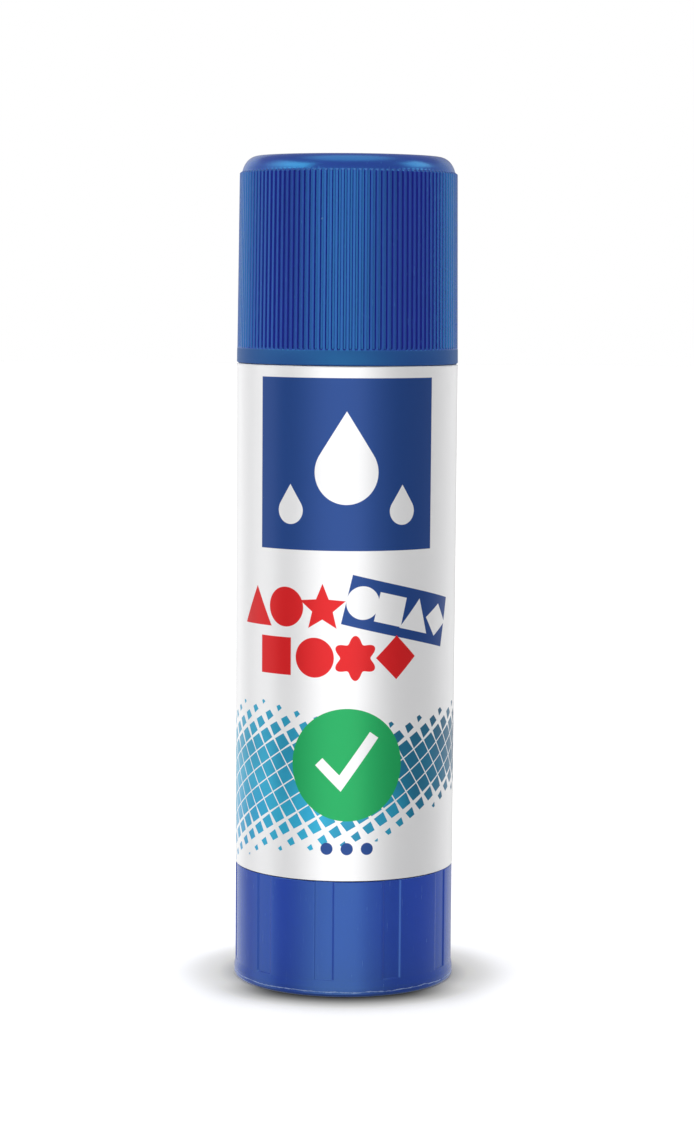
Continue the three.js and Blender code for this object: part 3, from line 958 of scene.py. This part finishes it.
def make_barrel():
    outside = OUTER_RADIUS - FILM - FILM_GAP
    foot = BARREL_FOOT - BARREL_LOWERED
    shoulder = SHOULDER + SHOULDER_EDGE
    bead = SHOULDER + BEAD_RISE
    inner_collar = COLLAR_RADIUS - COLLAR_WALL
    corners = [
        (JOURNAL_HOLE, BARREL_FOOT, 0.15),
        (inner_collar, BARREL_FOOT, 0.3),
        (inner_collar, COLLAR_FOOT, 0.15),
        (COLLAR_RADIUS, COLLAR_FOOT, 0.25),
        (COLLAR_RADIUS, foot, 0.1),
        (outside - BARREL_DRAFT, foot, BARREL_LOWERED),
        (outside, shoulder, SHOULDER_EDGE),
        (NECK_RADIUS, shoulder, 0.2),
        (NECK_RADIUS, bead, 0.5),
        (NECK_RADIUS + BEAD_HEIGHT, bead + BEAD_WIDTH * 0.3, 0.4),
        (NECK_RADIUS + BEAD_HEIGHT, bead + BEAD_WIDTH * 0.7, 0.4),
        (NECK_RADIUS, bead + BEAD_WIDTH, 0.5),
        (NECK_RADIUS, LIP, 0.4),
        (BORE, LIP, 0.25),
        (BORE, FLOOR_TOP, 0.4),
        (JOURNAL_HOLE, FLOOR_TOP, 0.15),
    ]
    outline = rounded(corners, 5)
    heights = [LIP - 0.3 - 0.1 * i for i in range(8)] + [FLOOR_TOP + 0.5]
    outline = with_heights(outline, heights, BORE - 0.1)
    half = KEY_WIDTH / 2 / BORE

    def keys(radius, height, angle):
        on_bore = (radius < BORE + 0.01) & (radius > BORE - 0.01) & (height > FLOOR_TOP + 0.3)
        away = near_spoke(angle, KEY_COUNT)
        side = ease((half - away) * BORE / KEY_FLANK)
        end = ease((LIP - KEY_FROM_LIP - height) / KEY_END)
        return np.where(on_bore, radius - KEY_HEIGHT * (side * end), radius)

    flank = [half - share * KEY_FLANK / BORE for share in (0, 0.24, 0.52, 0.76, 1)]
    angles = columns(180, spoke_marks(KEY_COUNT, flank))
    barrel = turned("barrel_tube", outline, angles, keys)
    dress(barrel, "barrel", "barrel", barrel_white)


def make_label():
    """The film starts at the back, goes right round and climbs on to its own start."""
    count = round((TURN + FILM_LAP) / FILM_STEP)
    vertices, faces = [], []
    for i in range(count + 1):
        angle = math.pi + i * FILM_STEP
        climb = ease((i * FILM_STEP - TURN + FILM_CLIMB) / FILM_CLIMB)
        for height in (LABEL_FOOT - FILM_PAST_FOOT, LABEL_TOP + SHOULDER_EDGE):
            draft = BARREL_DRAFT * (SHOULDER - height) / (SHOULDER - BARREL_FOOT)
            inner = OUTER_RADIUS - FILM - draft + (FILM + FILM_CLEAR) * climb
            for radius in (inner, inner + FILM):
                vertices.append((radius * math.sin(angle), -radius * math.cos(angle), height))
    for i in range(count):
        a, b = 4 * i, 4 * i + 4
        faces += [
            (a + 1, b + 1, b + 3, a + 3), (a + 2, b + 2, b, a),
            (a, b, b + 1, a + 1), (a + 3, b + 3, b + 2, a + 2),
        ]
    last = 4 * count
    faces += [(0, 1, 3, 2), (last + 2, last + 3, last + 1, last)]
    label = made("label_wrap", vertices, faces, sharp_angle=30)
    dress(label, "label", "barrel", film_print)


def make_knob():
    foot_edge = KNOB_RIM_RADIUS - KNOB_FOOT_FILLET
    bore = KNOB_RADIUS - KNOB_WALL
    floor_top = KNOB_RECESS + KNOB_FLOOR
    socket_foot = floor_top + SOCKET_FLOOR
    socket = JOURNAL_RADIUS + SPLINE_GAP
    corners = [
        (0, KNOB_RECESS, 0),
        (foot_edge - KNOB_FOOT_WIDTH, KNOB_RECESS, 0.3),
        (foot_edge - KNOB_FOOT_WIDTH, 0, 0.3),
        (KNOB_RIM_RADIUS, 0, KNOB_FOOT_FILLET),
        (KNOB_RIM_RADIUS, KNOB_RIM_HEIGHT - KNOB_LEDGE, KNOB_LEDGE_FILLET),
        (KNOB_RADIUS, KNOB_RIM_HEIGHT + 0.02, KNOB_LEDGE_FILLET),
        (KNOB_RADIUS, KNOB_TOP, 0.1),
        (bore, KNOB_TOP, 0.2),
        (bore, floor_top, 0.5),
        (BOSS_RADIUS, floor_top, 0.4),
        (BOSS_RADIUS, BOSS_TOP, 0.2),
        (socket, BOSS_TOP, 0),
        (socket, socket_foot, 0),
        (0, socket_foot, 0),
    ]
    outline = rounded(corners, 5, closed=False)
    groove_foot = KNOB_RIM_HEIGHT + GROOVE_FROM_RIM
    heights = [groove_foot + 0.04 * i for i in range(6)] + [6.0, 10.0]
    outline = with_heights(outline, heights, KNOB_RADIUS - 0.1, closed=False)
    half = GROOVE_WIDTH / 2

    def grooves_and_splines(radius, height, angle):
        across = near_spoke(angle, GROOVE_COUNT, GROOVE_TURN) * KNOB_RADIUS
        side = ease((half - across) / GROOVE_SLOPE)
        depth = GROOVE_DEPTH * side * ease((height - groove_foot) / GROOVE_END)
        outside = (radius > KNOB_RADIUS - 0.4) & (height > groove_foot)
        grooved = np.where(outside, np.minimum(radius, KNOB_RADIUS - depth), radius)
        in_socket = (np.abs(radius - socket) < 0.01) & (height > floor_top)
        return np.where(in_socket, radius - spline_depth(angle), grooved)

    slope = [(half - GROOVE_SLOPE * share) / KNOB_RADIUS for share in GROOVE_COLUMNS]
    angles = columns(240, spoke_marks(GROOVE_COUNT, slope, GROOVE_TURN) + spline_marks())
    knob = turned("twist_knob", outline, angles, grooves_and_splines, closed=False)
    web_inner, web_outer = BOSS_RADIUS - OVERLAP, bore + OVERLAP
    web_foot, web_top = floor_top - OVERLAP, COLLAR_FOOT - WEB_GAP
    pitch = TURN / WEB_COUNT
    webs = [
        block(f"web_{i}", web_inner, web_outer, WEB_THICKNESS, web_foot, web_top, i * pitch)
        for i in range(WEB_COUNT)
    ]
    combined(knob, webs, "UNION")
    dress(knob, "knob", "knob", knob_blue)


def make_spindle():
    journal_foot = BOSS_TOP + SPLINE_GAP
    corners = [
        (0, TAIL_FOOT, 0),
        (JOURNAL_RADIUS, TAIL_FOOT, 0.3),
        (JOURNAL_RADIUS, FLANGE_FOOT, 0.1),
        (FLANGE_RADIUS, FLANGE_FOOT, 0.2),
        (FLANGE_RADIUS, FLANGE_TOP, 0.2),
        (0, FLANGE_TOP, 0),
    ]
    outline = rounded(corners, 4, closed=False)
    outline = with_heights(outline, [journal_foot - 0.05, journal_foot + 0.05], 3.0, closed=False)

    def splines(radius, height, angle):
        splined = np.minimum(radius, JOURNAL_RADIUS - spline_depth(angle))
        return np.where(height < journal_foot, splined, radius)

    spindle = turned("spindle", outline, columns(96, spline_marks()), splines, closed=False)
    thread_foot, thread_top = FLANGE_TOP + 1, SCREW_TIP - 2 * TIP_TAPER
    screw = rod("screw_part", FLANGE_TOP - OVERLAP, SCREW_TIP, thread_foot, thread_top)
    combined(spindle, [screw], "UNION")
    dress(spindle, "lead_screw", "knob", screw_white)


def keyway_shape(outer):
    """Reshape that cuts the keyways into a round piece's outside, and its angles."""
    half = KEY_WIDTH / 2 + KEY_GAP

    def keyways(radius, height, angle):
        away = near_spoke(angle, KEY_COUNT) * outer
        cut = KEY_HEIGHT * ease((half - away) / KEYWAY_FLANK)
        return np.where(radius > outer - KEY_HEIGHT, np.minimum(radius, outer - cut), radius)

    flank = [(half - KEYWAY_FLANK * i / 4) / outer for i in range(5)]
    return keyways, columns(144, spoke_marks(KEY_COUNT, flank))


def make_carrier():
    floor_foot = CUP_SEAT - CUP_FLOOR
    skirt_foot = floor_foot - SKIRT_DEPTH
    corners = [
        (0, floor_foot, 0),
        (CUP_RADIUS, floor_foot, 0.4),
        (CUP_RADIUS, skirt_foot, 0.2),
        (CARRIER_RADIUS, skirt_foot, 0.3),
        (CARRIER_RADIUS, CUP_RIM, 0.3),
        (CUP_RADIUS - CUP_LIP, CUP_RIM, 0.2),
        (CUP_RADIUS - CUP_LIP, CUP_RIM - CUP_LIP_HEIGHT, 0.1),
        (CUP_RADIUS, CUP_RIM - CUP_LIP_HEIGHT - CUP_LIP, 0.1),
        (CUP_RADIUS, CUP_SEAT, 0.4),
        (0, CUP_SEAT, 0),
    ]
    shape, angles = keyway_shape(CARRIER_RADIUS)
    carrier = turned("glue_carrier", rounded(corners, 4, closed=False), angles, shape, closed=False)
    hub_top = CUP_SEAT - OVERLAP
    hub_corners = [
        (0, HUB_FOOT, 0), (HUB_RADIUS, HUB_FOOT, 0.3), (HUB_RADIUS, hub_top, 0), (0, hub_top, 0),
    ]
    hub = turned("hub_part", rounded(hub_corners, 4, closed=False), columns(96), closed=False)
    web_inner, web_outer = HUB_RADIUS - OVERLAP, CUP_RADIUS + OVERLAP
    web_foot, web_top = floor_foot - CARRIER_WEB_DEPTH, floor_foot + OVERLAP
    pitch = TURN / CARRIER_WEBS
    webs = [
        block(f"rib_{i}", web_inner, web_outer, WEB_THICKNESS, web_foot, web_top, (i + 0.5) * pitch)
        for i in range(CARRIER_WEBS)
    ]
    combined(carrier, [hub] + webs, "UNION")
    # This thread runs on well past both ends of the hub
    cutter = rod(
        "thread_part", HUB_FOOT - 2 * THREAD_LEAD, CUP_SEAT + 2 * THREAD_LEAD,
        HUB_FOOT - THREAD_LEAD, CUP_SEAT + THREAD_LEAD, THREAD_GAP,
    )
    combined(carrier, [cutter], "DIFFERENCE")
    dress(carrier, "carrier", "carrier", carrier_white)


def make_glue():
    """The plug in the carrier's cup rises with it, and so does the column above. How much of the
    column would be left at the end of the travel is worked out, but not applied.
    """
    spindle_bore = THREAD_RADIUS + THREAD_GAP
    plug_radius = CUP_RADIUS - PLUG_GAP
    neck = CUP_RADIUS - CUP_LIP - PLUG_GAP
    foot = CUP_RIM + PLUG_GAP
    plug_corners = [
        (spindle_bore, GLUE_FOOT, 0.1),
        (plug_radius, GLUE_FOOT, 0.4),
        (plug_radius, CUP_RIM - CUP_LIP_HEIGHT - CUP_LIP - PLUG_GAP, 0.1),
        (neck, CUP_RIM - CUP_LIP_HEIGHT, 0.1),
        (neck, foot, 0),
        (spindle_bore, foot, 0),
    ]
    plug = turned("glue_plug", rounded(plug_corners), columns(96))
    dress(plug, "glue_column", "carrier", glue_blue)
    outer = BORE - GLUE_GAP
    column_corners = [
        (spindle_bore, foot, 0),
        (outer, foot, 0.1),
        (outer, GLUE_TOP - 0.1, GLUE_ROUND),
        (GLUE_RING_RADIUS, GLUE_TOP - GLUE_RING_DROP, 2.0),
        (spindle_bore, GLUE_TOP, 0.4),
    ]
    shape, angles = keyway_shape(outer)
    column = turned("glue_stick", rounded(column_corners, 6), angles, shape)
    dress(column, "glue_column", "carrier", glue_blue)
    slide = next(joint for joint in frame["joints"] if joint["name"] == "carrier_slide")
    travel = slide["range_m"][1] / MM
    keep = max(1 - travel / (GLUE_TOP - foot), LEAST_GLUE)
    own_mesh(column)


make_cap()
make_liner()
make_barrel()
make_label()
make_knob()
make_spindle()
make_carrier()
make_glue()


# Floor, light and camera

IMAGE_HEIGHT = 1125
FOCAL_PIXELS = 2914
SENSOR = 36
CLIP_START = 0.05
CAMERA_PLACE = Vector((0.15, -410.0, 98.53)) * MM
CAMERA_PITCH = math.radians(5.526)
CAMERA_ROLL = math.radians(0.425)
# Light panels: azimuths from the front towards +X and how soft those edges are, elevations,
# brightness. All angles are in degrees.
PANELS = [
    ((-49, 40), (57, 37), (-35, 28), 0.41),
    ((-34, 20), (46, 21), (-35, 28), 0.53),
    ((-111, -76), (20, 20), (-35, 28), 0.49),
    ((119, 166), (70, 21), (-35, 28), 0.48),
    ((188, 233), (41, 52), (-35, 28), 0.68),
    ((-101, -48), (57, 9), (27, 48), 2.56),
    ((78, 113), (30, 14), (27, 48), 2.04),
]
# How soft the panels' upper and lower edges are
PANEL_RIM = 10
# Light from all round, and the elevations between which it grows and by how much
SIDE_LIGHT = 0.37
RISES = [(20, 44, 0.07), (58, 74, 0.99)]

# Floor. Each pair of distances from the axis is where something begins and where it is complete.
FLOOR_HALF = 3000
FLOOR_TINTS = ((0.93, 0.93, 0.93, 1), (0.95, 0.95, 0.95, 1))
# Warmer tint painted into the floor's shade near the object, against the blue light that the knob
# throws on it
SHADOW_WARM_TINT = (0.94, 0.92, 0.83, 1)
# Colour of the painted shadow on the floor
SHADOW_BLACK = (0.0, 0.0, 0.0, 1)
WHITE = (1, 1, 1, 1)
# Painted shadow in the floor's colour round the object's foot, deeper in front
PAINTED_CONTACT, PAINTED_CONTACT_ROUND, PAINTED_CONTACT_FRONT = (15.4, 18.6), 0.12, 0.18
PAINTED_UMBRA, PAINTED_UMBRA_FRONT = (16.0, 22.3), 0.6
# Radii over which the painted warm tint of the shade fades out
SHADOW_WARM = (17.0, 25.0)
# Painted light: the floor emits light further off and beside the object, so that the painted shadow
# fades into white
GLOW, GLOW_FAR = (18.0, 26.0), 0.28
SIDE_GLOW, GLOW_BESIDE = (16.0, 18.0), 0.12
# Cosines of the angles from the front where the shadow in front begins and is complete
FRONT = (0.35, 0.85)
# How dark the painted shadow gets at most
DARKEST_PAINTED_SHADE = 0.97


def make_floor():
    """White floor that emits light further off, which is painted light. Near the object its tint is
    warmer and carries part of the shadow round the foot, painted as shade in its colour."""
    n = Nodes("floor_paper")
    x, y, _, place = n.position()
    away = (x * x + y * y).math("SQRT")
    in_front = n.smooth(-y / away.math("MAXIMUM", 1.0), *FRONT)
    # Painted shadow: the floor's colour darkens towards the foot, most in front
    painted_contact_shadow = (1 - n.between(away, *PAINTED_CONTACT)) * (in_front * PAINTED_CONTACT_FRONT + PAINTED_CONTACT_ROUND)
    painted_umbra = (1 - n.smooth(away, *PAINTED_UMBRA)) * in_front * PAINTED_UMBRA_FRONT
    tint = n.mixed(n.noise(place, 40, 3), *FLOOR_TINTS)
    # Painted shade tint: warmer near the object
    tint = n.mixed(1 - n.smooth(away, *SHADOW_WARM), tint, SHADOW_WARM_TINT)
    tint = n.mixed((painted_contact_shadow + painted_umbra).math("MINIMUM", DARKEST_PAINTED_SHADE), tint, SHADOW_BLACK)
    # Painted light: emission that grows further off and beside the object
    beside = n.between(away, *SIDE_GLOW) * (1 - in_front)
    painted_glow = n.smooth(away, *GLOW) * GLOW_FAR + beside * GLOW_BESIDE
    n.feed(n.shader.inputs["Emission Strength"], painted_glow)
    n.finish(tint, 0.9, Specular_IOR_Level=0.1, Emission_Color=WHITE)
    sides = ((-1, -1), (1, -1), (1, 1), (-1, 1))
    corners = [(right * FLOOR_HALF, back * FLOOR_HALF, 0) for right, back in sides]
    floor = made("floor", corners, [(0, 1, 2, 3)])
    floor.data.materials.append(n.material)
    floor.visible_glossy = False


def make_world():
    """Upright soft panels round the object, which is on white for the camera."""
    n = Nodes.of_world("studio")
    direction = n.add("ShaderNodeTexCoord").outputs["Generated"]
    split = n.add("ShaderNodeSeparateXYZ")
    n.tree.links.new(direction, split.inputs[0])
    x, y, z = [Value(n, socket) for socket in split.outputs]
    azimuth = x.math("ARCTAN2", -y) * math.degrees(1)
    elevation = z.math("ARCSINE") * math.degrees(1)

    def window(value, low, high, softness):
        """1 between two edges and 0 outside them, with a softness for each edge."""
        soft_low, soft_high = softness[0] / 2, softness[1] / 2
        inside_low = n.smooth(value, low - soft_low, low + soft_low)
        return inside_low - n.smooth(value, high - soft_high, high + soft_high)

    light = n.math("ADD", SIDE_LIGHT, 0.0)
    for (low, high), softness, (foot, top), brightness in PANELS:
        middle = (low + high) / 2
        off = (azimuth - middle + 180).math("FLOORED_MODULO", 360.0) - 180
        panel = window(off, low - middle, high - middle, softness)
        panel = panel * window(elevation, foot, top, (PANEL_RIM, PANEL_RIM))
        light = light + panel * brightness
    for low, high, brightness in RISES:
        light = light + n.smooth(elevation, low, high) * brightness
    seen = Value(n, n.add("ShaderNodeLightPath").outputs["Is Camera Ray"])
    n.feed(n.shader.inputs["Strength"], light * (1 - seen) + seen)
    n.shader.inputs["Color"].default_value = WHITE


def make_camera():
    data = bpy.data.cameras.new("camera")
    data.sensor_width = SENSOR
    data.lens = FOCAL_PIXELS / IMAGE_HEIGHT * SENSOR
    data.clip_start = CLIP_START
    camera = bpy.data.objects.new("camera", data)
    bpy.context.scene.collection.objects.link(camera)
    forward = Vector((0, math.cos(CAMERA_PITCH), -math.sin(CAMERA_PITCH)))
    level_up = Vector((1, 0, 0)).cross(forward)
    right = Vector((1, 0, 0)) * math.cos(CAMERA_ROLL) + level_up * math.sin(CAMERA_ROLL)
    up = right.cross(forward)
    turn = Matrix((right, up, -forward)).transposed()
    camera.matrix_world = Matrix.Translation(CAMERA_PLACE) @ turn.to_4x4()
    bpy.context.scene.camera = camera


make_floor()
make_world()
make_camera()
bpy.context.scene.view_settings.view_transform = "Standard"
